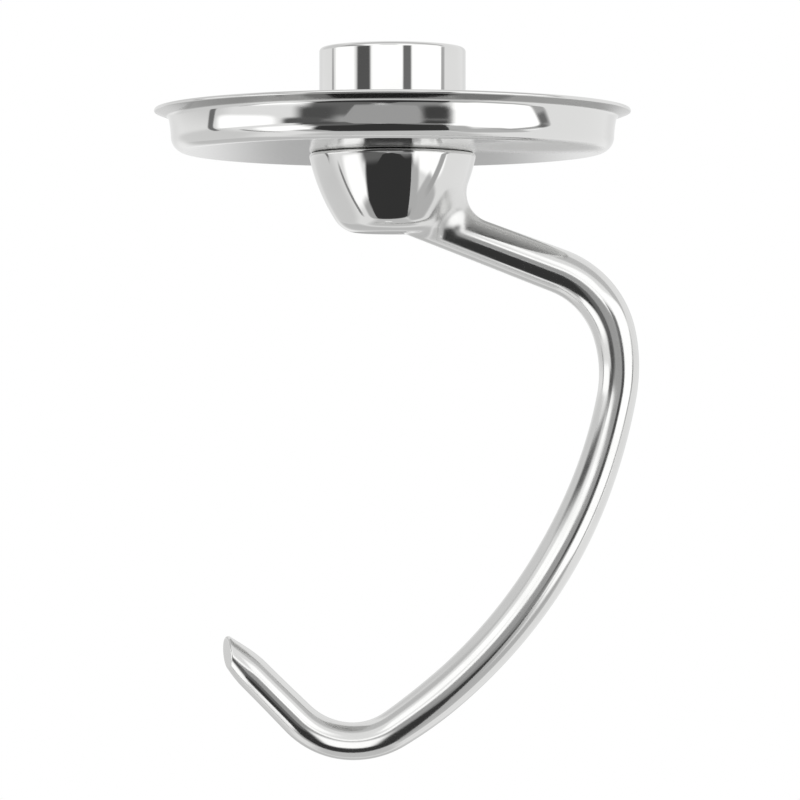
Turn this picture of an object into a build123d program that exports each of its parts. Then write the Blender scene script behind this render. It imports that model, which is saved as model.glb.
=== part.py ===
"""Dough hook for a stand mixer: a cast steel hook with a drive hub, and the pressed pan that guards the drive.

All sizes are millimetres. The origin is the middle of the hub's top face, where the drive bore opens.
+Z runs up the drive axis, and the arm reaches out towards +X and sweeps back under the axis.
"""
import os
from math import ceil, cos, pi

from build123d import *

# Drive shaft and its cross pin, which belong to the mixer
shaft_diameter = 12.7
pin_diameter = 4.8
pin_reach = 11.0

# Hub: bore for the shaft, and the bayonet that the cross pin turns into
shaft_clearance = 0.15
pin_clearance = 0.25
hub_diameter = 32.0
hub_edge_radius = 0.9
bore_floor = 8.4
bore_mouth_chamfer = 0.4
lock_depth = 13.5
lock_turn = 60.0

# Boss under the pan
shoulder_depth = 23.0
boss_height = 17.4
shoulder_width = 2.35
boss_bottom_diameter = 21.2
boss_side_radius = 42.0
boss_top_edge_radius = 0.8
boss_bottom_edge_radius = 6.0

# Arm: centreline, from the drive axis to the tip
arm_root_height = 5.5
arm_fall = 20.8
arm_run = 38.8
shoulder_bend_radius = 19.9
shoulder_bend_angle = 54.6
shoulder_ease_radius = 32.0
shoulder_ease_angle = 25.3
sweep_radius = 111.4
sweep_angle = 46.0
heel_bend_radius = 16.9
heel_bend_angle = 78.2
toe_run = 22.3
nose_length = 8.8

# Arm: diameters along the centreline, and the blend into the boss
root_diameter = 8.8
shoulder_bend_diameter = 9.7
neck_diameter = 8.6
sweep_diameter = 9.4
sweep_end_diameter = 9.2
heel_diameter = 8.2
toe_diameter = 7.5
tip_diameter = 2.7
arm_root_fillet = 6.5

# Arm: oblique cut at the tip, turned to the front
tip_bevel = 45.0
tip_turn = 24.0
tip_edge_radius = 0.6

# Guard pan, pressed from sheet
sheet = 0.8
pan_fit = 0.05
pan_floor_diameter = 96.9
pan_wall_flare = 0.45
pan_wall_height = 7.65
pan_wall_hollow_radius = 24.0
lip_width = 3.2
lip_rise = 1.2
pan_corner_radius = 3.4
lip_bend_radius = 1.0
lip_edge_radius = 0.3
largest_edge_share = 0.45

bore_radius = shaft_diameter / 2 + shaft_clearance
slot_width = pin_diameter + 2 * pin_clearance
slot_reach = pin_reach + pin_clearance
boss_top_radius = hub_diameter / 2 + shoulder_width
boss_bottom_radius = boss_bottom_diameter / 2
boss_bottom_z = -shoulder_depth - boss_height
bore_bottom_z = boss_bottom_z + bore_floor
pan_floor_end = (pan_floor_diameter / 2, -shoulder_depth)
pan_wall_top = (pan_floor_diameter / 2 + pan_wall_flare, -shoulder_depth + pan_wall_height)
lip_end = (pan_wall_top[0] + lip_width, pan_wall_top[1] + lip_rise)

# Half-plane of the turned profiles, on the side away from the arm so that no seam crosses the arm's root
profile_plane = Plane((0, 0, 0), x_dir=(-1, 0, 0), z_dir=(0, 1, 0))

# Centreline of tangent lines and arcs, all bending the same way, run past the tip for the oblique cut
with BuildLine(Plane.XZ) as centreline:
    reach = PolarLine((0, boss_bottom_z + arm_root_height), arm_run, -arm_fall)
    shoulder_bend = JernArc(reach @ 1, reach % 1, shoulder_bend_radius, -shoulder_bend_angle)
    shoulder_ease = JernArc(shoulder_bend @ 1, shoulder_bend % 1, shoulder_ease_radius, -shoulder_ease_angle)
    sweep_arc = JernArc(shoulder_ease @ 1, shoulder_ease % 1, sweep_radius, -sweep_angle)
    heel_bend = JernArc(sweep_arc @ 1, sweep_arc % 1, heel_bend_radius, -heel_bend_angle)
    toe = PolarLine(heel_bend @ 1, toe_run + toe_diameter, direction=heel_bend % 1)

stretches = (reach, shoulder_bend, shoulder_ease, sweep_arc, heel_bend, toe)


def distance_to(stretch, share):
    """Length of the centreline from the drive axis to a share of the way along one stretch."""
    before = stretches[: stretches.index(stretch)]
    return sum(earlier.length for earlier in before) + share * stretch.length


# Distances along the centreline where the arm's diameter is set
arm_stations = (
    (0.0, root_diameter),
    (distance_to(shoulder_bend, 0.5), shoulder_bend_diameter),
    (distance_to(sweep_arc, 0.0), neck_diameter),
    (distance_to(sweep_arc, 0.45), sweep_diameter),
    (distance_to(sweep_arc, 0.85), sweep_end_diameter),
    (distance_to(heel_bend, 0.5), heel_diameter),
    (distance_to(toe, 0.0) + toe_run - nose_length, toe_diameter),
    (distance_to(toe, 1.0), tip_diameter),
)


def arm_diameter(distance):
    """Diameter of the arm at a distance along the centreline, easing from each station to the next."""
    for (here, diameter), (there, next_diameter) in zip(arm_stations, arm_stations[1:]):
        if distance <= there:
            break
    ease = (1 - cos(pi * (distance - here) / (there - here))) / 2
    return diameter + (next_diameter - diameter) * ease


with BuildPart() as arm:
    arm_wire = centreline.wire()
    # Sections stand a third of the tightest bend's radius apart, which keeps the loft true to the centreline
    section_pitch = min(shoulder_bend_radius, heel_bend_radius) / 3
    section_count = ceil(arm_wire.length / section_pitch)
    for section in range(section_count + 1):
        distance = arm_wire.length * section / section_count
        middle = arm_wire.position_at(distance, position_mode=PositionMode.LENGTH)
        heading = arm_wire.tangent_at(distance, position_mode=PositionMode.LENGTH)
        with BuildSketch(Plane(middle, x_dir=(0, 1, 0), z_dir=heading)):
            Circle(arm_diameter(distance) / 2)
    loft()
    # Oblique end: what lies past the bevel plane is ground away, and the sharp edge is eased
    bevel_facing = (toe % 0).rotate(Axis.Y, -tip_bevel).rotate(Axis.Z, tip_turn)
    bevel_plane = Plane(toe @ 0 + (toe % 0) * toe_run, z_dir=bevel_facing)
    with BuildSketch(bevel_plane):
        Circle(2 * toe_diameter)
    extrude(amount=2 * toe_diameter, mode=Mode.SUBTRACT)
    fillet(arm.faces().filter_by(bevel_plane).edges(), tip_edge_radius)

with BuildPart() as hook_body:
    with BuildSketch(profile_plane) as body_profile:
        with BuildLine():
            Polyline(
                (boss_bottom_radius, boss_bottom_z),
                (0, boss_bottom_z),
                (0, 0),
                (hub_diameter / 2, 0),
                (hub_diameter / 2, -shoulder_depth),
                (boss_top_radius, -shoulder_depth),
            )
            RadiusArc(
                (boss_top_radius, -shoulder_depth),
                (boss_bottom_radius, boss_bottom_z),
                boss_side_radius,
            )
        make_face()
        for corner, radius in (
            ((hub_diameter / 2, 0), hub_edge_radius),
            ((boss_top_radius, -shoulder_depth), boss_top_edge_radius),
            ((boss_bottom_radius, boss_bottom_z), boss_bottom_edge_radius),
        ):
            fillet(body_profile.vertices().sort_by_distance(corner)[0], radius)
    revolve(axis=Axis.Z)
    add(arm.part)
    fillet(hook_body.edges(Select.NEW), arm_root_fillet)
    # Drive bore, blind, with an eased mouth
    with BuildSketch(profile_plane) as bore_profile:
        with BuildLine():
            Polyline(
                (0, 0),
                (bore_radius + bore_mouth_chamfer, 0),
                (bore_radius, -bore_mouth_chamfer),
                (bore_radius, bore_bottom_z),
                (0, bore_bottom_z),
                close=True,
            )
        make_face()
    revolve(axis=Axis.Z, mode=Mode.SUBTRACT)
    # Bayonet: a keyway down from the top face, then a pocket round the bore that the pin turns into
    with BuildSketch(Plane.XY):
        Rectangle(slot_width, slot_reach, align=(Align.CENTER, Align.MIN))
    extrude(amount=-lock_depth - slot_width / 2, mode=Mode.SUBTRACT)
    with BuildSketch(Plane.YZ) as pocket_profile:
        with Locations((0, -lock_depth)):
            Rectangle(slot_reach, slot_width, align=(Align.MIN, Align.CENTER))
    revolve(axis=Axis.Z, revolution_arc=lock_turn, mode=Mode.SUBTRACT)

with BuildPart() as guard_pan:
    with BuildSketch(profile_plane) as pan_profile:
        # Underside of the sheet: flat floor, a wall that is a little hollow from outside, and a rising lip
        with BuildLine() as pan_underside:
            Line((hub_diameter / 2 + pan_fit, -shoulder_depth), pan_floor_end)
            RadiusArc(pan_floor_end, pan_wall_top, pan_wall_hollow_radius)
            Line(pan_wall_top, lip_end)
            for bend, radius in ((pan_floor_end, pan_corner_radius), (pan_wall_top, lip_bend_radius)):
                fillet(pan_underside.vertices().sort_by_distance(bend)[0], radius)
            offset(amount=sheet, side=Side.LEFT)
        make_face()
        # Both corners of the lip's edge are eased, by less than half of the sheet each
        lip_edge = pan_profile.vertices().sort_by(Axis.X)[-2:]
        fillet(lip_edge, min(lip_edge_radius, largest_edge_share * sheet))
    revolve(axis=Axis.Z)

os.makedirs("parts", exist_ok=True)
hook_body.part.label = "hook_body"
export_step(hook_body.part, "parts/hook_body.step")
guard_pan.part.label = "guard_pan"
export_step(guard_pan.part, "parts/guard_pan.step")
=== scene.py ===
"""Looks of the stand mixer dough hook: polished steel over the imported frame, hung in a white studio.

Every object is in metres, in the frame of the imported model: the origin is the middle of the hub's top face,
+Z runs up the drive axis, and the arm reaches out towards +X.
"""
from collections import namedtuple
from math import atan2, ceil, cos, hypot, pi, radians, sin, sqrt, tan

import bmesh
import bpy
import numpy as np
from bpy.props import FloatProperty, FloatVectorProperty, PointerProperty
from mathutils import Matrix, Quaternion, Vector


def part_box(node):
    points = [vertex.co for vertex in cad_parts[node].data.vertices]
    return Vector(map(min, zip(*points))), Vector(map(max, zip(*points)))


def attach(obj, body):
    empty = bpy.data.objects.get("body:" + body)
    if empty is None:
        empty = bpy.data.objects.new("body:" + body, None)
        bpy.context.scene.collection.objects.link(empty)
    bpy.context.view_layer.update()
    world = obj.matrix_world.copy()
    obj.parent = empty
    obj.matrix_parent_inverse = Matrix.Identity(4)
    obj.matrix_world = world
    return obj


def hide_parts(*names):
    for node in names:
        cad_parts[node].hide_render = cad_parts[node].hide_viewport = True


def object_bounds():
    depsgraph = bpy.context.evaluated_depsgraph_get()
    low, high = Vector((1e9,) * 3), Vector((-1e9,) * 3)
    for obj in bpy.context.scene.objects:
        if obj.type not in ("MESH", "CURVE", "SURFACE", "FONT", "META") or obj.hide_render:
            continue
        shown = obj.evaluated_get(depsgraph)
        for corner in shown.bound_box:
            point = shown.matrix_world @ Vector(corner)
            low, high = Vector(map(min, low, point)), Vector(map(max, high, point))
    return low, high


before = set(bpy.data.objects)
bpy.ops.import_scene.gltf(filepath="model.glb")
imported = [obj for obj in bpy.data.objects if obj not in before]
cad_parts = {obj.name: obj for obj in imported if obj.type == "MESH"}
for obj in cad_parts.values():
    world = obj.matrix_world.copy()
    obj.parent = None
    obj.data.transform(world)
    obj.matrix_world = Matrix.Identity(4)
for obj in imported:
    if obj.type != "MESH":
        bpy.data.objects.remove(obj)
CAD_LOW, CAD_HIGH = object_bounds()
PAN_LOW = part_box("guard_pan")[0]

bl_info = {
    "name": "Dough Hook",
    "version": (1, 0, 0),
    "blender": (4, 5, 0),
    "location": "View3D > Sidebar > Dough Hook",
    "description": "Builds a polished dough hook with its guard pan, and the studio that it hangs in",
    "category": "Object",
}

MM = 0.001
# Points round the casting and round the pan, fine enough for clean mirror reflections
HOOK_POINTS = 160
PAN_POINTS = 256
# Steps of each kind of stretch along a surface, and the spacing of the rings along the arm
EDGE_STEPS = 8
FLAT_STEPS = 10
BLEND_STEPS = 16
BOSS_STEPS = 44
RING_SPACING = 1.0 * MM
# Shares of a stretch of the arm where a diameter is set
MIDWAY = 0.5
SWEEP_FULLEST, SWEEP_THINNING = 0.45, 0.85
# Sizes of the loops on the tip's oblique face, as shares of its edge
TIP_FACE_SHARES = (0.3, 0.6, 0.8, 0.92, 0.98)
# Halvings of a span in the search for a distance along the arm
HALVINGS = 48
# Edges that turn by more than this stay sharp in the shading
SHARP_ANGLE = radians(32)
# Points nearer than this to each other are one point
SLIVER = 0.002 * MM
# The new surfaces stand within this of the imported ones
FORM_TOLERANCE = 0.15 * MM


def length(name, description, millimetres):
    """A length property, given in millimetres and kept in metres."""
    return FloatProperty(
        name=name, description=description, default=millimetres * MM, unit="LENGTH", precision=5
    )


def angle(name, description, turned):
    """An angle property, given in degrees."""
    return FloatProperty(name=name, description=description, default=radians(turned), subtype="ANGLE")


def linear(hex_colour):
    """An sRGB hex colour as linear red, green, blue and full alpha."""
    channels = [int(hex_colour[i : i + 2], 16) / 255 for i in (1, 3, 5)]
    return (*[c / 12.92 if c <= 0.04045 else ((c + 0.055) / 1.055) ** 2.4 for c in channels], 1.0)


def colour(name, description, hex_colour):
    """A colour property, given as sRGB hex."""
    return FloatVectorProperty(
        name=name, description=description, default=linear(hex_colour), size=4, subtype="COLOR", min=0, max=1
    )


class CastHookSizes(bpy.types.PropertyGroup):
    """Sizes of the casting: the hub with its drive bore, the boss and the arm."""

    hub_diameter: length("Hub diameter", "Outside of the hub", 32.0)
    hub_edge_radius: length("Hub edge", "Radius on the hub's top edge", 0.9)
    bore_diameter: length("Bore diameter", "Bore for the mixer's shaft", 13.0)
    bore_depth: length("Bore depth", "Depth of the bore from the top face", 32.0)
    bore_chamfer: length("Bore chamfer", "Eased mouth of the bore", 0.4)
    slot_width: length("Slot width", "Width of the keyway and height of its pocket", 5.3)
    slot_reach: length("Slot reach", "From the drive axis to the end of the keyway", 11.25)
    lock_depth: length("Lock depth", "From the top face to the middle of the pocket", 13.5)
    lock_turn: angle("Lock turn", "How far the pocket turns from the keyway", 60.0)
    shoulder_depth: length("Shoulder depth", "From the top face to the pan's seat", -PAN_LOW.z / MM)
    boss_height: length("Boss height", "From the pan's seat to the bottom of the boss", 17.4)
    boss_top_diameter: length("Boss top", "Diameter of the boss under the pan", 36.7)
    boss_bottom_diameter: length("Boss bottom", "Diameter of the boss at its foot", 21.2)
    boss_side_radius: length("Boss side", "Radius of the boss's swelling side", 42.0)
    boss_top_edge_radius: length("Boss top edge", "Radius on the boss's top edge", 0.8)
    boss_bottom_edge_radius: length("Boss bottom edge", "Radius on the boss's bottom edge", 6.0)
    arm_root_height: length("Arm root", "Where the centreline meets the drive axis, above the foot", 5.5)
    arm_fall: angle("Arm fall", "Slope of the arm as it leaves the boss", 20.8)
    arm_run: length("Arm run", "Straight part of the centreline from the drive axis", 38.8)
    shoulder_bend_radius: length("Shoulder bend", "Radius of the bend after the straight", 19.9)
    shoulder_bend_angle: angle("Shoulder bend turn", "Turn of the bend after the straight", 54.6)
    shoulder_ease_radius: length("Shoulder ease", "Radius between the bend and the sweep", 32.0)
    shoulder_ease_angle: angle("Shoulder ease turn", "Turn between the bend and the sweep", 25.3)
    sweep_radius: length("Sweep", "Radius of the long sweep", 111.4)
    sweep_angle: angle("Sweep turn", "Turn of the long sweep", 46.0)
    heel_bend_radius: length("Heel bend", "Radius of the bend at the bottom", 16.9)
    heel_bend_angle: angle("Heel bend turn", "Turn of the bend at the bottom", 78.2)
    toe_run: length("Toe run", "Straight part that rises to the tip", 22.3)
    nose_length: length("Nose", "Length of the tapered end", 8.8)
    root_diameter: length("Root diameter", "Arm at the drive axis", 8.8)
    shoulder_bend_diameter: length("Shoulder diameter", "Arm in the shoulder bend", 9.7)
    neck_diameter: length("Neck diameter", "Arm at the start of the sweep", 8.6)
    sweep_diameter: length("Sweep diameter", "Arm in the middle of the sweep", 9.4)
    sweep_end_diameter: length("Sweep end diameter", "Arm near the end of the sweep", 9.2)
    heel_diameter: length("Heel diameter", "Arm in the heel bend", 8.2)
    toe_diameter: length("Toe diameter", "Arm where the nose starts", 7.5)
    tip_diameter: length("Tip diameter", "Arm at the end of the taper", 2.7)
    arm_root_fillet: length("Root fillet", "Radius between the arm and the boss", 6.5)
    tip_bevel: angle("Tip bevel", "Turn of the oblique cut from square", 45.0)
    tip_turn: angle("Tip turn", "Turn of the oblique cut to the front", 24.0)
    tip_edge_radius: length("Tip edge", "Radius round the oblique cut", 0.6)


class GuardPanSizes(bpy.types.PropertyGroup):
    """Sizes of the pressed pan, measured on its underside."""

    sheet: length("Sheet", "Thickness of the sheet", 0.8)
    hole_diameter: length("Hole", "Hole that goes over the hub", 32.1)
    floor_diameter: length("Floor", "Diameter of the floor to its sharp corner", 96.9)
    wall_flare: length("Wall flare", "How much wider the wall is at its top, on each side", 0.45)
    wall_height: length("Wall height", "From the floor to the lip's bend", 7.65)
    wall_hollow_radius: length("Wall hollow", "Radius of the wall's hollow from floor to lip", 24.0)
    lip_width: length("Lip width", "How far the lip reaches out", 3.2)
    lip_rise: length("Lip rise", "How far the lip rises", 1.2)
    corner_radius: length("Corner", "Radius between the floor and the wall", 3.4)
    lip_bend_radius: length("Lip bend", "Radius between the wall and the lip", 1.0)
    lip_edge_radius: length("Lip edge", "Radius on both corners of the lip's edge", 0.3)


class SteelFinish(bpy.types.PropertyGroup):
    """Colours and surface of the polished stainless steel."""

    cast_colour: colour("Cast steel", "Face-on reflection of the casting", "#DEDEDD")
    cast_shade: colour("Cast shade", "Face-on reflection of the casting in its greyer clouds", "#D5D5D4")
    pressed_colour: colour("Pressed steel", "Face-on reflection of the sheet", "#DBDBDA")
    # Painted shade: where the sheet faces down under the lip, its colour is drawn as this darker grey
    under_lip_shade_colour: colour("Painted under-lip shade", "Face-on reflection of the sheet facing down under the lip, darkened as painted shade", "#A2A2A1")
    wave_depth: length("Wave depth", "Height of the soft waves", 0.03)
    cast_wave: length("Cast wave", "Spacing of the soft waves that hand polishing leaves", 11.0)
    pressed_wave: length("Pressed wave", "Spacing of the soft waves that pressing leaves", 16.0)
    scratch_spacing: length("Scratch spacing", "Spacing of the fine polishing lines", 0.45)


class StudioSetup(bpy.types.PropertyGroup):
    """Camera, floor and light of the studio."""

    camera_distance: length("Camera distance", "From the drive axis to the camera", 780.0)
    camera_height: length("Camera height", "Camera's height in the hook's frame", -76.9)
    camera_side: length("Camera side", "Camera's offset towards the arm", 1.64)
    lens: FloatProperty(name="Lens", description="Focal length", default=160.65, subtype="DISTANCE_CAMERA")
    floor_drop: length("Floor drop", "From the hook's lowest point to the floor", 170.0)
    floor_radius: length("Floor radius", "Radius where the floor has faded out", 900.0)
    floor_colour: colour("Floor", "Pale paper of the floor", "#F1F1EF")
    card_distance: length("Card distance", "From the hook to the furthest card", 4500.0)
    heel_card_distance: length("Heel card distance", "From the heel to the small card in front of it", 26.0)
    heel_side: length("Heel side", "Middle of the heel, from the drive axis towards the arm", -11.0)


def unit(vectors):
    """The vectors at length one."""
    return vectors / np.linalg.norm(vectors, axis=-1, keepdims=True)


def spaced(first, last, steps):
    """Points from one point to another, closer at both ends so that the shading stays flat between."""
    share = (1 - np.cos(np.linspace(0, pi, steps + 1))) / 2
    return np.outer(1 - share, first) + np.outer(share, last)


def arc(centre, radius, start, end, steps=EDGE_STEPS):
    """Points round an arc in a profile's plane, between two angles."""
    turned = np.linspace(start, end, steps + 1)
    return np.array(centre) + radius * np.column_stack((np.cos(turned), np.sin(turned)))


def circles(profile, around):
    """Loops that a profile of radius and height sweeps round the drive axis."""
    profile = np.asarray(profile)
    loops = np.empty((len(profile), len(around), 3))
    loops[..., 0] = profile[:, :1] * np.cos(around)
    loops[..., 1] = profile[:, :1] * np.sin(around)
    loops[..., 2] = profile[:, 1:]
    return loops


def skin(name, loops, joined=False):
    """Mesh object over loops of points, closed by a face at each end or by joining the last to the first."""
    rows, count = loops.shape[:2]
    index = np.arange(rows * count).reshape(rows, count)
    after = np.roll(index, -1, axis=1)
    quads = np.stack((index[:-1], after[:-1], after[1:], index[1:]), axis=-1).reshape(-1, 4).tolist()
    if joined:
        quads += np.stack((index[-1], after[-1], after[0], index[0]), axis=-1).tolist()
    else:
        quads += [index[0].tolist(), index[-1].tolist()]
    mesh = bpy.data.meshes.new(name)
    mesh.from_pydata(loops.reshape(-1, 3).tolist(), [], quads)
    shell = bmesh.new()
    shell.from_mesh(mesh)
    bmesh.ops.recalc_face_normals(shell, faces=shell.faces)
    shell.to_mesh(mesh)
    shell.free()
    made = bpy.data.objects.new(name, mesh)
    bpy.context.scene.collection.objects.link(made)
    return made


def cut(body, cutters):
    """Takes the cutters out of a body, and deletes them."""
    for cutter in cutters:
        step = body.modifiers.new(cutter.name, "BOOLEAN")
        step.object = cutter
        step.operation = "DIFFERENCE"
        step.solver = "EXACT"
    bpy.context.view_layer.update()
    shaped = bpy.data.meshes.new_from_object(body.evaluated_get(bpy.context.evaluated_depsgraph_get()))
    # Slivers where the cutters cross are merged away
    shell = bmesh.new()
    shell.from_mesh(shaped)
    bmesh.ops.remove_doubles(shell, verts=shell.verts, dist=SLIVER)
    bmesh.ops.dissolve_degenerate(shell, edges=shell.edges, dist=SLIVER)
    shell.to_mesh(shaped)
    shell.free()
    body.modifiers.clear()
    body.data = shaped
    for cutter in cutters:
        bpy.data.objects.remove(cutter)


def dress(piece, packed, material):
    """Shades a piece, gives it its material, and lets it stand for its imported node."""
    piece.data.shade_smooth()
    piece.data.set_sharp_from_angle(angle=SHARP_ANGLE)
    piece.data.materials.clear()
    piece.data.materials.append(material)
    low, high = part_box(packed)
    corners = np.array([v.co for v in piece.data.vertices])
    off = max(np.abs(corners.min(axis=0) - low).max(), np.abs(corners.max(axis=0) - high).max())
    if off > FORM_TOLERANCE:
        raise RuntimeError(f"{piece.name} stands {off / MM:.2f} mm off the packed {packed}")
    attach(piece, "root")
    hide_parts(packed)


class ArmForm:
    """Round arm on a centreline of tangent lines and arcs, whose diameter eases from station to station."""

    def __init__(self, sizes):
        """Lays the stretches end to end from the drive axis, and the stations along them."""
        stretches = (
            (sizes.arm_run, 0.0),
            (sizes.shoulder_bend_radius * sizes.shoulder_bend_angle, 1 / sizes.shoulder_bend_radius),
            (sizes.shoulder_ease_radius * sizes.shoulder_ease_angle, 1 / sizes.shoulder_ease_radius),
            (sizes.sweep_radius * sizes.sweep_angle, 1 / sizes.sweep_radius),
            (sizes.heel_bend_radius * sizes.heel_bend_angle, 1 / sizes.heel_bend_radius),
            (sizes.toe_run + sizes.toe_diameter, 0.0),
        )
        lengths, bends = (np.array(column) for column in zip(*stretches))
        self.bends = bends
        self.starts = np.concatenate(([0.0], np.cumsum(lengths)))
        self.headings = -sizes.arm_fall - np.concatenate(([0.0], np.cumsum(lengths * bends)))[:-1]
        self.points = np.zeros((len(bends), 2))
        self.points[0, 1] = sizes.arm_root_height - sizes.shoulder_depth - sizes.boss_height
        for i in range(1, len(bends)):
            self.points[i] = self.run(i - 1, lengths[i - 1])
        bend, sweep, heel, toe = 1, 3, 4, 5
        self.toe_start = self.starts[toe]
        stations = (
            (0.0, sizes.root_diameter),
            (self.starts[bend] + MIDWAY * lengths[bend], sizes.shoulder_bend_diameter),
            (self.starts[sweep], sizes.neck_diameter),
            (self.starts[sweep] + SWEEP_FULLEST * lengths[sweep], sizes.sweep_diameter),
            (self.starts[sweep] + SWEEP_THINNING * lengths[sweep], sizes.sweep_end_diameter),
            (self.starts[heel] + MIDWAY * lengths[heel], sizes.heel_diameter),
            (self.toe_start + sizes.toe_run - sizes.nose_length, sizes.toe_diameter),
            (self.starts[-1], sizes.tip_diameter),
        )
        self.stations, self.diameters = (np.array(column) for column in zip(*stations))

    def run(self, stretch, travelled):
        """Centreline points, as X and Z, at distances along their stretches."""
        turned = self.bends[stretch] * travelled
        chord = travelled * np.sinc(turned / (2 * pi))
        heading = self.headings[stretch] - turned / 2
        return self.points[stretch] + np.stack((chord * np.cos(heading), chord * np.sin(heading)), axis=-1)

    def surface(self, distance, around):
        """Points of the arm and their normals, at distances along the centreline and angles round it."""
        distance, around = np.broadcast_arrays(distance, around)
        stretch = np.clip(np.searchsorted(self.starts, distance, side="right") - 1, 0, len(self.bends) - 1)
        travelled = distance - self.starts[stretch]
        middle = self.run(stretch, travelled)
        heading = self.headings[stretch] - self.bends[stretch] * travelled
        station = np.clip(
            np.searchsorted(self.stations, distance, side="right") - 1, 0, len(self.stations) - 2
        )
        span = self.stations[station + 1] - self.stations[station]
        share = (distance - self.stations[station]) / span
        growth = (self.diameters[station + 1] - self.diameters[station]) / 2
        radius = self.diameters[station] / 2 + growth * (1 - np.cos(pi * share)) / 2
        slope = growth * pi / 2 * np.sin(pi * share) / span
        along = np.stack((np.cos(heading), np.zeros_like(heading), np.sin(heading)), axis=-1)
        outward = np.stack(
            (-np.sin(around) * np.sin(heading), np.cos(around), np.sin(around) * np.cos(heading)), axis=-1
        )
        centre = np.stack((middle[..., 0], np.zeros_like(heading), middle[..., 1]), axis=-1)
        return centre + radius[..., None] * outward, unit(outward - slope[..., None] * along)


class BossForm:
    """Turned boss: a flat foot, a rounded edge and a swelling side, up to the round under the pan."""

    def __init__(self, sizes):
        """Finds the centres of the side and of the two rounds that are tangent to it."""
        self.foot = -sizes.shoulder_depth - sizes.boss_height
        top = np.array((sizes.boss_top_diameter / 2, -sizes.shoulder_depth))
        bottom = np.array((sizes.boss_bottom_diameter / 2, self.foot))
        self.side_radius = sizes.boss_side_radius
        chord = top - bottom
        half = hypot(*chord) / 2
        inward = np.array((-chord[1], chord[0])) / (2 * half)
        self.side_centre = (top + bottom) / 2 + sqrt(self.side_radius**2 - half**2) * inward
        self.edge_radius = sizes.boss_bottom_edge_radius
        self.edge_centre, self.edge_end = self.round_on_side(self.foot + self.edge_radius, self.edge_radius)
        self.top_radius = sizes.boss_top_edge_radius
        self.top_centre, self.side_end = self.round_on_side(top[1] - self.top_radius, self.top_radius)
        self.edge_start_arc = self.edge_centre[0]
        self.side_start_arc = self.edge_start_arc + self.edge_radius * (self.edge_end + pi / 2)
        self.side_end_arc = self.side_start_arc + self.side_radius * (self.side_end - self.edge_end)

    def round_on_side(self, height, radius):
        """Centre of a round at a height inside the side, and the angle where it meets the side."""
        rise = height - self.side_centre[1]
        run = sqrt((self.side_radius - radius) ** 2 - rise**2)
        return np.array((self.side_centre[0] + run, height)), atan2(rise, run)

    def nearest(self, points):
        """Distances from points to the boss, its normals there, and arc lengths from its foot's middle."""
        out, up = np.hypot(points[..., 0], points[..., 1]), points[..., 2]
        edge_angle = np.arctan2(up - self.edge_centre[1], out - self.edge_centre[0])
        side_angle = np.arctan2(up - self.side_centre[1], out - self.side_centre[0])
        edge_gap = np.hypot(out - self.edge_centre[0], up - self.edge_centre[1]) - self.edge_radius
        side_gap = np.hypot(out - self.side_centre[0], up - self.side_centre[1]) - self.side_radius
        places = (out < self.edge_centre[0], edge_angle < self.edge_end)
        gap = np.select(places, (self.foot - up, edge_gap), side_gap)
        tilt = np.select(places, (np.full_like(out, -pi / 2), edge_angle), side_angle)
        arc_length = np.select(
            places,
            (out, self.edge_start_arc + self.edge_radius * (edge_angle + pi / 2)),
            self.side_start_arc + self.side_radius * (side_angle - self.edge_end),
        )
        spin = np.arctan2(points[..., 1], points[..., 0])
        normal = np.stack((np.cos(tilt) * np.cos(spin), np.cos(tilt) * np.sin(spin), np.sin(tilt)), axis=-1)
        return gap, normal, arc_length

    def lift(self, flat):
        """Points on the boss for a flat map of it: arc length from the middle of the foot, and direction."""
        arc_length = np.hypot(flat[..., 0], flat[..., 1])
        edge_angle = (arc_length - self.edge_start_arc) / self.edge_radius - pi / 2
        side_angle = (arc_length - self.side_start_arc) / self.side_radius + self.edge_end
        places = (arc_length < self.edge_start_arc, arc_length < self.side_start_arc)
        out = np.select(
            places,
            (arc_length, self.edge_centre[0] + self.edge_radius * np.cos(edge_angle)),
            self.side_centre[0] + self.side_radius * np.cos(side_angle),
        )
        up = np.select(
            places,
            (np.full_like(out, self.foot), self.edge_centre[1] + self.edge_radius * np.sin(edge_angle)),
            self.side_centre[1] + self.side_radius * np.sin(side_angle),
        )
        spin = np.arctan2(flat[..., 1], flat[..., 0])
        return np.stack((out * np.cos(spin), out * np.sin(spin), up), axis=-1)


def closing(gap, near, far, around):
    """Distance along the arm, for each angle round it, where a gap that grows with distance is nothing."""
    low, high = np.full_like(around, near), np.full_like(around, far)
    for _ in range(HALVINGS):
        middle = (low + high) / 2
        beyond = gap(middle) > 0
        low, high = np.where(beyond, low, middle), np.where(beyond, middle, high)
    return high


def rolled(centres, radius, first, last, steps):
    """Loops of an edge rolled by a ball between two surfaces' normals; a hollow's radius is below 0."""
    swing = np.arccos(np.clip((first * last).sum(axis=-1, keepdims=True), -1, 1))
    shares = np.linspace(0, 1, steps + 1)[:, None, None]
    facing = (np.sin((1 - shares) * swing) * first + np.sin(shares * swing) * last) / np.sin(swing)
    return centres + radius * facing


def between(arm, first, last, steps, around):
    """Loops of the arm from one set of distances to another, without the first."""
    shares = np.linspace(0, 1, steps + 1)[1:, None]
    return arm.surface(first + (last - first) * shares, around[None, :])[0]


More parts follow.
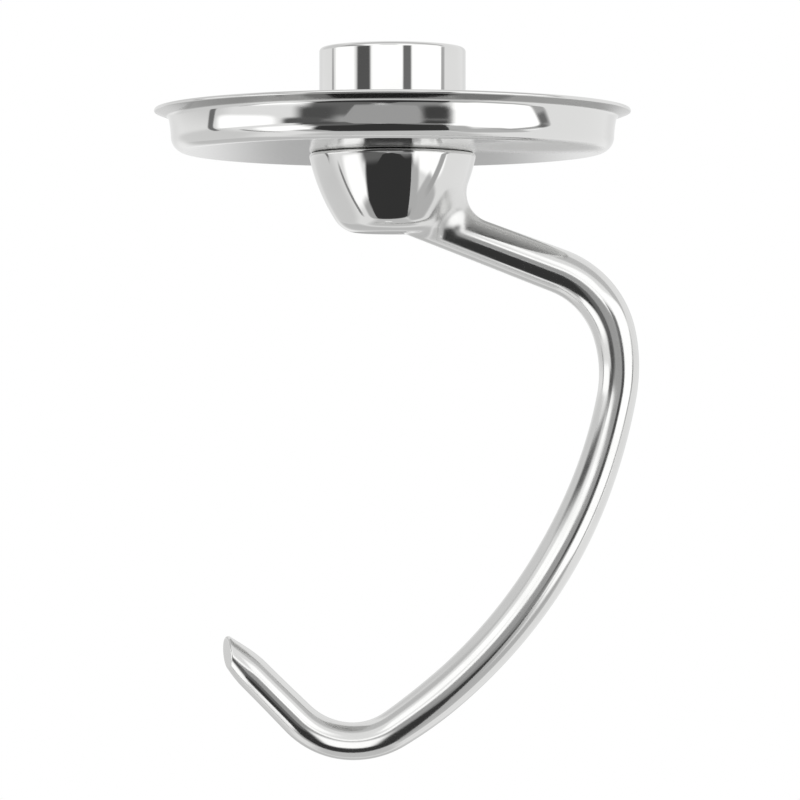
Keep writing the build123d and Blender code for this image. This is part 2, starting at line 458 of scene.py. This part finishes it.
def tip_loops(arm, sizes, around):
    """Loops over the oblique cut and its eased edge, and the distances where the edge leaves the arm."""
    heading = arm.headings[-1]
    along = Vector((cos(heading), 0, sin(heading)))
    facing = Matrix.Rotation(sizes.tip_turn, 3, "Z") @ Matrix.Rotation(-sizes.tip_bevel, 3, "Y") @ along
    facing = np.array(facing)
    end = arm.run(len(arm.bends) - 1, np.array(sizes.toe_run))
    end = np.array((end[0], 0, end[1]))
    radius = sizes.tip_edge_radius

    def ball(distance):
        points, normals = arm.surface(distance, around)
        return points - radius * normals, normals

    reach = closing(lambda d: (ball(d)[0] - end) @ facing + radius, arm.toe_start, arm.starts[-1], around)
    centres, normals = ball(reach)
    edge = rolled(centres, radius, np.broadcast_to(facing, normals.shape), normals, EDGE_STEPS)
    middle = edge[0].mean(axis=0)
    face = np.array([middle + (edge[0] - middle) * share for share in TIP_FACE_SHARES])
    return np.concatenate((face, edge)), reach


def root_loops(arm, boss, sizes, around):
    """Distances where the root blend leaves the arm, its loops, and its edge on the boss's flat map."""
    radius = sizes.arm_root_fillet

    def ball(distance):
        points, normals = arm.surface(distance, around)
        return points + radius * normals, normals

    reach = closing(lambda d: boss.nearest(ball(d)[0])[0] - radius, 0.0, sizes.arm_run, around)
    centres, normals = ball(reach)
    _, boss_normals, arc_length = boss.nearest(centres)
    spin = np.arctan2(centres[:, 1], centres[:, 0])
    rim = arc_length[:, None] * np.column_stack((np.cos(spin), np.sin(spin)))
    return reach, rolled(centres, -radius, normals, boss_normals, BLEND_STEPS), rim


def boss_loops(boss, rim):
    """Loops over the boss from the root blend to the round under the pan, and the angles they end at."""
    middle = rim.mean(axis=0)
    ray = unit(rim - middle)
    ahead = ray @ middle
    travel = np.sqrt(boss.side_end_arc**2 - middle @ middle + ahead**2) - ahead
    outer = middle + ray * travel[:, None]
    shares = np.linspace(0, 1, BOSS_STEPS + 1)[1:, None, None]
    return boss.lift(rim + (outer - rim) * shares), np.arctan2(outer[:, 1], outer[:, 0])


def hub_profile(boss, sizes):
    """Profile from the round under the pan, over the shoulder and up the hub, to inside the bore's mouth."""
    hub, edge, seat = sizes.hub_diameter / 2, sizes.hub_edge_radius, -sizes.shoulder_depth
    return np.concatenate(
        (
            arc(boss.top_centre, boss.top_radius, boss.side_end, pi / 2)[1:],
            spaced((boss.top_centre[0], seat), (hub, seat), EDGE_STEPS)[1:],
            spaced((hub, seat), (hub, -edge), 2 * FLAT_STEPS)[1:],
            arc((hub - edge, -edge), edge, 0, pi / 2)[1:],
            spaced((hub - edge, 0), (sizes.bore_diameter / 4, 0), FLAT_STEPS)[1:],
        )
    )


def bore_cutters(sizes):
    """The drive bore with its eased mouth, the cross pin's keyway, and the pocket that the pin turns into."""
    radius, chamfer, depth = sizes.bore_diameter / 2, sizes.bore_chamfer, sizes.bore_depth
    bore_profile = ((radius, -depth), (radius, -chamfer), (radius + 2 * chamfer, chamfer))
    around = np.linspace(0, 2 * pi, HOOK_POINTS, endpoint=False)
    bore = skin("bore_cutter", circles(bore_profile, around))
    half, reach = sizes.slot_width / 2, sizes.slot_reach
    keyway_outline = np.array(((-half, 0), (half, 0), (half, reach), (-half, reach)))
    swept = arc((0, 0), reach, pi / 2, pi / 2 + sizes.lock_turn, 4 * EDGE_STEPS)
    pocket_outline = np.concatenate((np.zeros((1, 2)), swept))
    low = -sizes.lock_depth - half
    cutters = [bore]
    for name, outline, top in (
        ("keyway_cutter", keyway_outline, chamfer),
        ("pocket_cutter", pocket_outline, low + sizes.slot_width),
    ):
        loops = np.array([np.column_stack((outline, np.full(len(outline), z))) for z in (low, top)])
        cutters.append(skin(name, loops))
    return cutters


def pan_profile(sizes):
    """Closed profile of the sheet: its underside out to the lip, the lip's edge, and its top side back."""
    seat, sheet = PAN_LOW.z, sizes.sheet
    corner = np.array((sizes.floor_diameter / 2, seat))
    bend = corner + (sizes.wall_flare, sizes.wall_height)
    end = bend + (sizes.lip_width, sizes.lip_rise)
    # The wall is hollow: its arc's centre stands outside the pan
    hollow = sizes.wall_hollow_radius
    chord = bend - corner
    half = hypot(*chord) / 2
    outward = np.array((chord[1], -chord[0])) / (2 * half)
    wall_centre = (corner + bend) / 2 + sqrt(hollow**2 - half**2) * outward
    # The corner's round touches the floor and the wall, and the bend's touches the wall and the lip
    rise = seat + sizes.corner_radius - wall_centre[1]
    run = sqrt((hollow + sizes.corner_radius) ** 2 - rise**2)
    corner_centre = wall_centre + (-run, rise)
    lip = atan2(sizes.lip_rise, sizes.lip_width)
    lip_along, lip_left = np.array((cos(lip), sin(lip))), np.array((-sin(lip), cos(lip)))
    below = bend - sizes.lip_bend_radius * lip_left - wall_centre
    along = below @ lip_along
    travel = -along - sqrt(along**2 - below @ below + (hollow - sizes.lip_bend_radius) ** 2)
    bend_centre = wall_centre + below + travel * lip_along
    wall_start = pi + atan2(wall_centre[1] - corner_centre[1], wall_centre[0] - corner_centre[0])
    wall_end = pi + atan2(wall_centre[1] - bend_centre[1], wall_centre[0] - bend_centre[0])
    hole = sizes.hole_diameter / 2

    def side(height):
        """One side of the sheet, at a height above its underside, from the hole to the lip's edge."""
        in_corner = arc(corner_centre, sizes.corner_radius - height, -pi / 2, wall_start - pi, 2 * EDGE_STEPS)
        wall = arc(wall_centre, hollow + height, wall_start, wall_end, FLAT_STEPS)
        in_bend = arc(bend_centre, sizes.lip_bend_radius + height, wall_end, lip + pi / 2, 2 * EDGE_STEPS)
        edge = end + height * lip_left - sizes.lip_edge_radius * lip_along
        return np.concatenate(
            (
                spaced((hole, seat + height), in_corner[0], 4 * FLAT_STEPS),
                in_corner[1:],
                wall[1:],
                in_bend[1:],
                spaced(in_bend[-1], edge, FLAT_STEPS)[1:],
            )
        )

    radius = sizes.lip_edge_radius
    under_centre = end - radius * lip_along + radius * lip_left
    over_centre = under_centre + (sheet - 2 * radius) * lip_left
    return np.concatenate(
        (
            side(0.0),
            arc(under_centre, radius, lip - pi / 2, lip, EDGE_STEPS // 2)[1:],
            arc(over_centre, radius, lip, lip + pi / 2, EDGE_STEPS // 2)[:-1],
            side(sheet)[::-1],
        )
    )


def node(tree, kind, inputs=(), **settings):
    """Adds a node with its settings, and sets or links its inputs. A socket as a value is linked."""
    made = tree.nodes.new(kind)
    for name, value in settings.items():
        setattr(made, name, value)
    for name, value in dict(inputs).items():
        if isinstance(value, bpy.types.NodeSocket):
            tree.links.new(value, made.inputs[name])
        else:
            made.inputs[name].default_value = value
    return made


def new_material(name):
    """An empty node material and its node tree."""
    material = bpy.data.materials.new(name)
    material.use_nodes = True
    material.node_tree.nodes.clear()
    return material, material.node_tree


# Soft waves of both steels, and grey clouds of the polish: their size, and the span of noise that they use
WAVE_NOISE = {"Detail": 1.0, "Roughness": 0.4}
CLOUD_SIZE = 9 * MM
CLOUD_LOW, CLOUD_HIGH = 0.3, 0.75
# Bump of the fine lines, and how far the belt draws them out
LINE_STRENGTH = 0.06
LINE_DEPTH = 0.01 * MM
BELT_STRETCH = 0.08
# Roughness of each finish, from its clearest to its greyest cloud, and of the places that are hard to polish
CRISP, HAZY, BUFFED = (0.02, 0.06), (0.08, 0.16), (0.03, 0.08)
HOLLOW_ROUGHNESS = 0.26
BORE_ROUGHNESS = 0.45
PAN_FLOOR_ROUGHNESS = 0.12
PATCH_ROUGHNESS = 0.5
# Where the casting's finish changes: out and down along the arm, in the hollow at its root and in the bore
ARM_FROM, ARM_CLEAR = 40 * MM, 54 * MM
HOLLOW_MIDDLE = (14 * MM, -6 * MM, -36 * MM)
HOLLOW_EDGE, HOLLOW_CORE = 9 * MM, 4 * MM
BORE_REACH = 12 * MM
BORE_MIDDLE, BORE_HALF = -16.5 * MM, 16.3 * MM
# Where the sheet's finish changes: out past the wall, where it faces down, and in front of the arm's root.
# Out past the wall and facing down, its colour is also darkened as painted shade
LIP_FROM, LIP_CLEAR = 48.95 * MM, 49.6 * MM
DOWN_FROM, DOWN_CLEAR = -0.75, -0.92
PATCH_MIDDLE = (32 * MM, -20 * MM, -23 * MM)
PATCH_EDGE, PATCH_CORE = 25 * MM, 6 * MM


def from_axis(tree, place):
    """How far each point stands out from the drive axis."""
    flat = node(tree, "ShaderNodeVectorMath", {0: place, 1: (1.0, 1.0, 0.0)}, operation="MULTIPLY")
    out = node(tree, "ShaderNodeVectorMath", {0: flat.outputs["Vector"]}, operation="LENGTH")
    return out.outputs["Value"]


def near(tree, place, middle, edge, core, far_value=0.0, near_value=1.0):
    """A value that eases from far to near between an edge and a core, measured from a middle."""
    away = node(tree, "ShaderNodeVectorMath", {0: place, 1: middle}, operation="DISTANCE")
    eased = node(
        tree,
        "ShaderNodeMapRange",
        {
            "Value": away.outputs["Value"],
            "From Min": edge,
            "From Max": core,
            "To Min": far_value,
            "To Max": near_value,
        },
        interpolation_type="SMOOTHSTEP",
    )
    return eased.outputs["Result"]


def cloudy(tree, place, spans):
    """Grey clouds of the polish, and one roughness for each span from the clearest to the greyest."""
    clouds = node(tree, "ShaderNodeTexNoise", {"Vector": place, "Scale": 1 / CLOUD_SIZE, "Detail": 4.0})
    grey = clouds.outputs["Fac"]
    picked = {"Value": grey, "From Min": CLOUD_LOW, "From Max": CLOUD_HIGH}
    finishes = [
        node(tree, "ShaderNodeMapRange", {**picked, "To Min": low, "To Max": high}).outputs["Result"]
        for low, high in spans
    ]
    return grey, finishes


def steel(tree, colour_mix, roughness, height, waves):
    """Shows steel with fine lines of a height over soft waves, and two colours mixed by a factor."""
    fine = node(
        tree,
        "ShaderNodeBump",
        {"Height": height, "Strength": LINE_STRENGTH, "Distance": LINE_DEPTH, "Normal": waves},
    )
    factor, clear, grey = colour_mix
    tint = node(tree, "ShaderNodeMix", {"Factor": factor, 6: clear, 7: grey}, data_type="RGBA")
    shader = node(
        tree,
        "ShaderNodeBsdfPrincipled",
        {
            "Base Color": tint.outputs[2],
            "Metallic": 1.0,
            "Roughness": roughness,
            "Normal": fine.outputs["Normal"],
        },
    )
    node(tree, "ShaderNodeOutputMaterial", {"Surface": shader.outputs["BSDF"]})


def polished_cast_stainless(finish):
    """Stainless steel, cast and ground, turned at the hub and polished by hand on the arm.

    The eye sees a mirror: straight and crisp on the hub and boss, bent by soft waves and a little hazy on the
    arm, with faint grey clouds and short fine lines left by the polishing belt. It is duller in the hollow at
    the arm's root, and satin in the drive bore.
    """
    material, tree = new_material("polished cast stainless steel")
    place = node(tree, "ShaderNodeTexCoord").outputs["Object"]
    # Out and down from the top face: the hub and boss end where the arm's root starts
    along = node(tree, "ShaderNodeVectorMath", {0: place, 1: (1.0, 0.0, -1.0)}, operation="DOT_PRODUCT")
    on_arm = node(
        tree,
        "ShaderNodeMapRange",
        {"Value": along.outputs["Value"], "From Min": ARM_FROM, "From Max": ARM_CLEAR},
        interpolation_type="SMOOTHSTEP",
    ).outputs["Result"]
    wave = node(tree, "ShaderNodeTexNoise", {"Vector": place, "Scale": 1 / finish.cast_wave, **WAVE_NOISE})
    wave_height = node(tree, "ShaderNodeMath", {0: wave.outputs["Fac"], 1: on_arm}, operation="MULTIPLY")
    waves = node(
        tree,
        "ShaderNodeBump",
        {"Height": wave_height.outputs["Value"], "Strength": 1.0, "Distance": finish.wave_depth},
    )
    # Polishing lines are too fine to show, and are drawn ten times as coarse
    belt = node(tree, "ShaderNodeVectorMath", {0: place, 1: (1.0, 1.0, BELT_STRETCH)}, operation="MULTIPLY")
    lines = node(
        tree,
        "ShaderNodeTexNoise",
        {"Vector": belt.outputs["Vector"], "Scale": 1 / finish.scratch_spacing, "Detail": 2.0},
    )
    grey, (crisp, hazy) = cloudy(tree, place, (CRISP, HAZY))
    polished = node(tree, "ShaderNodeMix", {"Factor": on_arm, "A": crisp, "B": hazy})
    # The belt hardly reaches into the hollow between the boss and the arm
    in_hollow = near(tree, place, HOLLOW_MIDDLE, HOLLOW_EDGE, HOLLOW_CORE)
    ground = node(
        tree, "ShaderNodeMix", {"Factor": in_hollow, "A": polished.outputs["Result"], "B": HOLLOW_ROUGHNESS}
    )
    # The drive bore and its keyway are drilled and left dull
    out = from_axis(tree, place)
    inside = node(tree, "ShaderNodeMath", {0: out, 1: BORE_REACH}, operation="LESS_THAN")
    height = node(tree, "ShaderNodeSeparateXYZ", {"Vector": place}).outputs["Z"]
    below_top = node(tree, "ShaderNodeMath", {0: height, 1: BORE_MIDDLE, 2: BORE_HALF}, operation="COMPARE")
    in_bore = node(
        tree,
        "ShaderNodeMath",
        {0: inside.outputs["Value"], 1: below_top.outputs["Value"]},
        operation="MULTIPLY",
    )
    roughness = node(
        tree,
        "ShaderNodeMix",
        {"Factor": in_bore.outputs["Value"], "A": ground.outputs["Result"], "B": BORE_ROUGHNESS},
    )
    colours = (grey, finish.cast_colour, finish.cast_shade)
    steel(tree, colours, roughness.outputs["Result"], lines.outputs["Fac"], waves.outputs["Normal"])
    return material


def polished_pressed_stainless(finish):
    """Stainless sheet, pressed and buffed as it spins.

    The eye sees a mirror with faint rings round the drive axis, a satin mill finish under the lip, where the
    buffing wheel does not reach, its colour darkened there as painted shade, and a satin patch on the floor
    in front of the arm's root.
    """
    material, tree = new_material("polished pressed stainless steel")
    place = node(tree, "ShaderNodeTexCoord").outputs["Object"]
    out = from_axis(tree, place)
    facing = node(tree, "ShaderNodeNewGeometry").outputs["True Normal"]
    down = node(tree, "ShaderNodeSeparateXYZ", {"Vector": facing}).outputs["Z"]
    past_wall, facing_down = (
        node(
            tree,
            "ShaderNodeMapRange",
            {"Value": value, "From Min": start, "From Max": end},
            interpolation_type="SMOOTHSTEP",
        ).outputs["Result"]
        for value, start, end in ((out, LIP_FROM, LIP_CLEAR), (down, DOWN_FROM, DOWN_CLEAR))
    )
    # Painted shade: this mask darkens the sheet's colour where it faces down under the lip
    under_lip = node(tree, "ShaderNodeMath", {0: past_wall, 1: facing_down}, operation="MULTIPLY")
    wave = node(tree, "ShaderNodeTexNoise", {"Vector": place, "Scale": 1 / finish.pressed_wave, **WAVE_NOISE})
    waves = node(
        tree,
        "ShaderNodeBump",
        {"Height": wave.outputs["Fac"], "Strength": 1.0, "Distance": finish.wave_depth},
    )
    # Buffing rings are too fine to show, and are drawn ten times as coarse
    rings = node(
        tree,
        "ShaderNodeTexNoise",
        {"W": out, "Scale": 1 / finish.scratch_spacing, "Detail": 2.0},
        noise_dimensions="1D",
    )
    _, (buffed,) = cloudy(tree, place, (BUFFED,))
    # The arm keeps the wheel off the floor in front of its root, which stays satin
    satin = near(tree, place, PATCH_MIDDLE, PATCH_EDGE, PATCH_CORE, PAN_FLOOR_ROUGHNESS, PATCH_ROUGHNESS)
    roughness = node(tree, "ShaderNodeMix", {"Factor": facing_down, "A": buffed, "B": satin})
    # The darker under-lip colour is painted shade on the sheet's underside, out past the wall
    colours = (under_lip.outputs["Value"], finish.pressed_colour, finish.under_lip_shade_colour)
    steel(tree, colours, roughness.outputs["Result"], rings.outputs["Fac"], waves.outputs["Normal"])
    return material


# A card that the steel mirrors: where it stands seen from the hook, its size and roll in degrees, its level
# and the share of it that fades out. A later card hangs in front of an earlier one.
Card = namedtuple("Card", "name azimuth elevation width height roll level soft")
CARDS = (
    Card("tent_roof", 0, 78, 150, 50, 0, 0.66, 0.4),
    Card("tent_side", -115, 28, 80, 46, 0, 0.8, 0.4),
    Card("tent_left", -122, -25, 70, 60, 0, 0.8, 0.5),
    Card("tent_back", -172, -40, 70, 50, 0, 0.66, 0.5),
    Card("tent_floor", 0, -90, 56, 56, 0, 0.7, 0.4),
    Card("tent_rear", 180, 8, 84, 44, 0, 0.88, 0.5),
    Card("back_paper", 180.2, -6, 8, 15, 0, 0.43, 0.55),
    Card("right_softbox", 57, 0, 56, 62, 0, 1.45, 0.15),
    Card("left_softbox", -81, 3, 44, 18, 0, 1.45, 0.25),
    Card("left_low_softbox", -63, -30, 34, 36, 0, 1.45, 0.4),
    Card("top_left_softbox", -34, 24, 36, 24, 20, 1.45, 0.5),
    Card("top_right_softbox", 22, 24, 34, 30, 0, 1.45, 0.5),
    Card("front_softbox", -8, 9, 58, 10, 0, 1.45, 0.3),
    Card("right_grey", 65, -46, 30, 38, 24, 0.6, 0.25),
    Card("left_grey", -57, -53, 14, 26, -10, 0.5, 0.6),
    Card("right_shade", 38, -40, 20, 42, -20, 0.58, 0.5),
    Card("grey_lens", 12, -12, 38, 24, 0, 0.34, 0.5),
    Card("grey_stand", -26, -14, 42, 26, 0, 0.16, 0.4),
    Card("grey_rail", -6, -5, 78, 20, 0, 0.44, 0.2),
    Card("black_table", -4, -43, 70, 58, -6, 0.045, 0.15),
    Card("dark_rail", -39, -6, 28, 18, 0, 0.1, 0.6),
    Card("right_rail", 22, -6, 18, 18, 0, 0.07, 0.5),
    Card("left_gap", -46, 3.5, 27, 14, 0, 0.12, 0.35),
    Card("right_gap", 23, 4.5, 16, 12, 0, 0.2, 0.4),
    Card("left_seam", -105, -2, 6, 26, -16, 0.2, 0.5),
    Card("right_seam", 78, -13, 9, 62, 22, 0.5, 0.4),
    Card("right_knot", 82, -2, 7, 12, 22, 0.2, 0.6),
    Card("left_fold", -83, -33, 4, 38, -11, 0.3, 0.4),
    Card("high_gap", -66, 19, 56, 13, 12, 0.12, 0.7),
)
# Each card hangs nearer than the one before by this share of the furthest card's distance
CARD_STEP = 0.02
# One small white card hangs close in front of the heel
HEEL_CARD = Card("heel_card", 0, -10, 50, 46, 0, 1.45, 0.4)
# Power of the cards' rounded outline, between an ellipse at 2 and a rectangle
CARD_ROUNDING = 6.0
# Floor: corners of its round edge, shares of its radius where it fades, and the grain of its paper
FLOOR_CORNERS = 96
FADE_FROM, FADE_CLEAR = 0.4, 0.98
PAPER_GRAIN = 2 * MM
PAPER_STRENGTH = 0.2
PAPER_DEPTH = 0.1 * MM
# Level of the world's light on the floor, where the camera and mirrors see 1
WORLD_LEVEL = 0.75
# Soft lamp overhead: its side and its height over the hook's middle in metres, and its power in watts
LAMP_SIDE, LAMP_HEIGHT, LAMP_POWER = 0.7, 1.1, 6.0
# Nothing nearer to the camera than this shows
CLIP_START = 10 * MM


def covered(tree, cover, shader):
    """Shows a shader where its cover is 1, and what lies behind it where the cover is 0."""
    clear = node(tree, "ShaderNodeBsdfTransparent").outputs["BSDF"]
    mix = node(tree, "ShaderNodeMixShader", {0: cover, 1: clear, 2: shader})
    node(tree, "ShaderNodeOutputMaterial", {"Surface": mix.outputs["Shader"]})


def card_cloth():
    """Matt cloth of the cards, which glows at the card's own level and fades out at its rounded edges."""
    material, tree = new_material("studio card cloth")
    info = node(tree, "ShaderNodeObjectInfo")
    local = node(
        tree, "ShaderNodeSeparateXYZ", {"Vector": node(tree, "ShaderNodeTexCoord").outputs["Object"]}
    )
    powers = []
    for axis in ("X", "Y"):
        away = node(tree, "ShaderNodeMath", {0: local.outputs[axis]}, operation="ABSOLUTE")
        power = node(tree, "ShaderNodeMath", {0: away.outputs["Value"], 1: CARD_ROUNDING}, operation="POWER")
        powers.append(power.outputs["Value"])
    both = node(tree, "ShaderNodeMath", {0: powers[0], 1: powers[1]}, operation="ADD")
    out = node(tree, "ShaderNodeMath", {0: both.outputs["Value"], 1: 1 / CARD_ROUNDING}, operation="POWER")
    inner = node(tree, "ShaderNodeMath", {0: 1.0, 1: info.outputs["Alpha"]}, operation="SUBTRACT")
    cover = node(
        tree,
        "ShaderNodeMapRange",
        {
            "Value": out.outputs["Value"],
            "From Min": inner.outputs["Value"],
            "From Max": 1.0,
            "To Min": 1.0,
            "To Max": 0.0,
        },
        interpolation_type="SMOOTHSTEP",
    )
    glow = node(tree, "ShaderNodeEmission", {"Color": info.outputs["Color"], "Strength": 1.0})
    covered(tree, cover.outputs["Result"], glow.outputs["Emission"])
    return material


def hang_card(card, aim, distance, cloth):
    """Hangs a card at a distance from the point that it faces."""
    turn, lift = radians(card.azimuth), radians(card.elevation)
    towards = Vector((sin(turn) * cos(lift), -cos(turn) * cos(lift), sin(lift)))
    bpy.ops.mesh.primitive_plane_add(size=2, location=aim + towards * distance)
    panel = bpy.context.object
    panel.name = card.name
    facing = (-towards).to_track_quat("Z", "Y") @ Quaternion((0, 0, 1), radians(card.roll))
    panel.rotation_euler = facing.to_euler()
    panel.scale = (distance * tan(radians(card.width / 2)), distance * tan(radians(card.height / 2)), 1)
    panel.color = (card.level, card.level, card.level, card.soft)
    panel.visible_camera = False
    panel.visible_diffuse = False
    panel.visible_shadow = False
    panel.data.materials.append(cloth)


def floor_paper(setup):
    """Pale matt paper, fading into the white behind it, and clear from below."""
    material, tree = new_material("pale studio paper")
    place = node(tree, "ShaderNodeTexCoord").outputs["Object"]
    out = node(tree, "ShaderNodeVectorMath", {0: place}, operation="LENGTH")
    fade = node(
        tree,
        "ShaderNodeMapRange",
        {
            "Value": out.outputs["Value"],
            "From Min": FADE_FROM * setup.floor_radius,
            "From Max": FADE_CLEAR * setup.floor_radius,
            "To Min": 1.0,
            "To Max": 0.0,
        },
        interpolation_type="SMOOTHSTEP",
    )
    behind = node(tree, "ShaderNodeNewGeometry").outputs["Backfacing"]
    front = node(tree, "ShaderNodeMath", {0: 1.0, 1: behind}, operation="SUBTRACT")
    cover = node(
        tree, "ShaderNodeMath", {0: fade.outputs["Result"], 1: front.outputs["Value"]}, operation="MULTIPLY"
    )
    # The paper's grain is too fine to show, and is drawn ten times as coarse
    grain = node(tree, "ShaderNodeTexNoise", {"Vector": place, "Scale": 1 / PAPER_GRAIN, "Detail": 3.0})
    bump = node(
        tree,
        "ShaderNodeBump",
        {"Height": grain.outputs["Fac"], "Strength": PAPER_STRENGTH, "Distance": PAPER_DEPTH},
    )
    paper = node(
        tree, "ShaderNodeBsdfDiffuse", {"Color": setup.floor_colour, "Normal": bump.outputs["Normal"]}
    )
    covered(tree, cover.outputs["Value"], paper.outputs["BSDF"])
    return material


def white_world():
    """White all round for the camera and for mirrors, and a plain level of light on the floor."""
    world = bpy.data.worlds.new("white studio")
    bpy.context.scene.world = world
    world.use_nodes = True
    tree = world.node_tree
    tree.nodes.clear()
    path = node(tree, "ShaderNodeLightPath")
    seen = path.outputs["Is Camera Ray"]
    for kind in ("Is Glossy Ray", "Is Transmission Ray"):
        seen = node(tree, "ShaderNodeMath", {0: seen, 1: path.outputs[kind]}, operation="MAXIMUM")
        seen = seen.outputs["Value"]
    level = node(tree, "ShaderNodeMapRange", {"Value": seen, "To Min": WORLD_LEVEL, "To Max": 1.0})
    back = node(
        tree, "ShaderNodeBackground", {"Color": linear("#FFFFFF"), "Strength": level.outputs["Result"]}
    )
    node(tree, "ShaderNodeOutputWorld", {"Surface": back.outputs["Background"]})


class DOUGHHOOK_OT_cast_hook(bpy.types.Operator):
    """Builds the casting: hub with drive bore, boss, root blend, arm and oblique tip, as one closed skin"""

    bl_idname = "dough_hook.cast_hook"
    bl_label = "Cast hook"

    def execute(self, context):
        """Skins the casting from the tip to the hub, cuts the bore and dresses it."""
        sizes = context.scene.cast_hook_sizes
        arm, boss = ArmForm(sizes), BossForm(sizes)
        around = np.linspace(0, 2 * pi, HOOK_POINTS, endpoint=False)
        tip, tip_reach = tip_loops(arm, sizes, around)
        root_reach, blend, rim = root_loops(arm, boss, sizes, around)
        square_tip = tip_reach.min() - sizes.toe_diameter / 2
        square_root = root_reach.max() + sizes.root_diameter / 2
        rings = ceil((square_tip - square_root) / RING_SPACING)
        over_boss, spin = boss_loops(boss, rim)
        loops = np.concatenate(
            (
                tip,
                between(arm, tip_reach, square_tip, FLAT_STEPS, around),
                between(arm, square_tip, square_root, rings, around),
                between(arm, square_root, root_reach, BLEND_STEPS, around),
                blend[1:],
                over_boss,
                circles(hub_profile(boss, sizes), spin),
            )
        )
        hook = skin("cast_hook", loops)
        cut(hook, bore_cutters(sizes))
        finish = context.scene.steel_finish
        dress(hook, "hook_body", polished_cast_stainless(finish))
        return {"FINISHED"}


class DOUGHHOOK_OT_guard_pan(bpy.types.Operator):
    """Builds the guard pan: one pressed sheet with a floor, a wall and a flared lip"""

    bl_idname = "dough_hook.guard_pan"
    bl_label = "Guard pan"

    def execute(self, context):
        """Turns the sheet's profile round the drive axis and dresses it."""
        around = np.linspace(0, 2 * pi, PAN_POINTS, endpoint=False)
        pan = skin("pressed_pan", circles(pan_profile(context.scene.guard_pan_sizes), around), joined=True)
        finish = context.scene.steel_finish
        dress(pan, "guard_pan", polished_pressed_stainless(finish))
        return {"FINISHED"}


class DOUGHHOOK_OT_studio(bpy.types.Operator):
    """Sets up the white studio: camera, floor, soft light and the cards that the steel mirrors"""

    bl_idname = "dough_hook.studio"
    bl_label = "Studio"

    def execute(self, context):
        """Makes the world, the floor, the lamp, the cards and the camera."""
        scene, setup = context.scene, context.scene.studio_setup
        scene.view_settings.view_transform = "Standard"
        white_world()
        middle = (CAD_LOW + CAD_HIGH) / 2
        bpy.ops.mesh.primitive_circle_add(
            vertices=FLOOR_CORNERS,
            radius=setup.floor_radius,
            fill_type="NGON",
            location=(middle.x, middle.y, CAD_LOW.z - setup.floor_drop),
        )
        floor = context.object
        floor.name = "floor"
        floor.data.materials.append(floor_paper(setup))
        floor.visible_glossy = False
        cloth = card_cloth()
        for place, card in enumerate(CARDS):
            hang_card(card, middle, setup.card_distance * (1 - CARD_STEP * place), cloth)
        heel = Vector((setup.heel_side, 0, CAD_LOW.z))
        hang_card(HEEL_CARD, heel, setup.heel_card_distance, cloth)
        lamp = bpy.data.lights.new("overhead_softbox", "AREA")
        lamp.size = LAMP_SIDE
        lamp.energy = LAMP_POWER
        overhead = bpy.data.objects.new("overhead_softbox", lamp)
        overhead.location = middle + Vector((0, 0, LAMP_HEIGHT))
        overhead.visible_glossy = False
        scene.collection.objects.link(overhead)
        lens = bpy.data.cameras.new("camera")
        lens.lens = setup.lens
        lens.clip_start = CLIP_START
        camera = bpy.data.objects.new("camera", lens)
        camera.location = (setup.camera_side, -setup.camera_distance, setup.camera_height)
        camera.rotation_euler = (radians(90), 0, 0)
        scene.collection.objects.link(camera)
        scene.camera = camera
        return {"FINISHED"}


class DOUGHHOOK_PT_panel(bpy.types.Panel):
    """Lists the pieces and the sizes, colours and studio that a user may change"""

    bl_idname = "DOUGHHOOK_PT_panel"
    bl_label = "Dough Hook"
    bl_space_type = "VIEW_3D"
    bl_region_type = "UI"
    bl_category = "Dough Hook"

    def draw(self, context):
        """Draws a button for each operator and a box for each group of properties."""
        for operator in OPERATORS:
            self.layout.operator(operator.bl_idname)
        for name, group in GROUPS.items():
            box = self.layout.box()
            box.label(text=name.replace("_", " ").capitalize())
            for size in group.__annotations__:
                box.prop(getattr(context.scene, name), size)


OPERATORS = (DOUGHHOOK_OT_cast_hook, DOUGHHOOK_OT_guard_pan, DOUGHHOOK_OT_studio)
GROUPS = {
    "cast_hook_sizes": CastHookSizes,
    "guard_pan_sizes": GuardPanSizes,
    "steel_finish": SteelFinish,
    "studio_setup": StudioSetup,
}


def register():
    """Registers the classes and hangs the property groups on the scene."""
    for made in (*GROUPS.values(), *OPERATORS, DOUGHHOOK_PT_panel):
        bpy.utils.register_class(made)
    for name, group in GROUPS.items():
        setattr(bpy.types.Scene, name, PointerProperty(type=group))


def unregister():
    """Takes the property groups off the scene and unregisters the classes."""
    for name in GROUPS:
        delattr(bpy.types.Scene, name)
    for made in (DOUGHHOOK_PT_panel, *reversed(OPERATORS), *reversed(GROUPS.values())):
        bpy.utils.unregister_class(made)


def main():
    """Builds the pieces and the studio."""
    register()
    bpy.ops.dough_hook.cast_hook()
    bpy.ops.dough_hook.guard_pan()
    bpy.ops.dough_hook.studio()


if __name__ == "__main__":
    main()
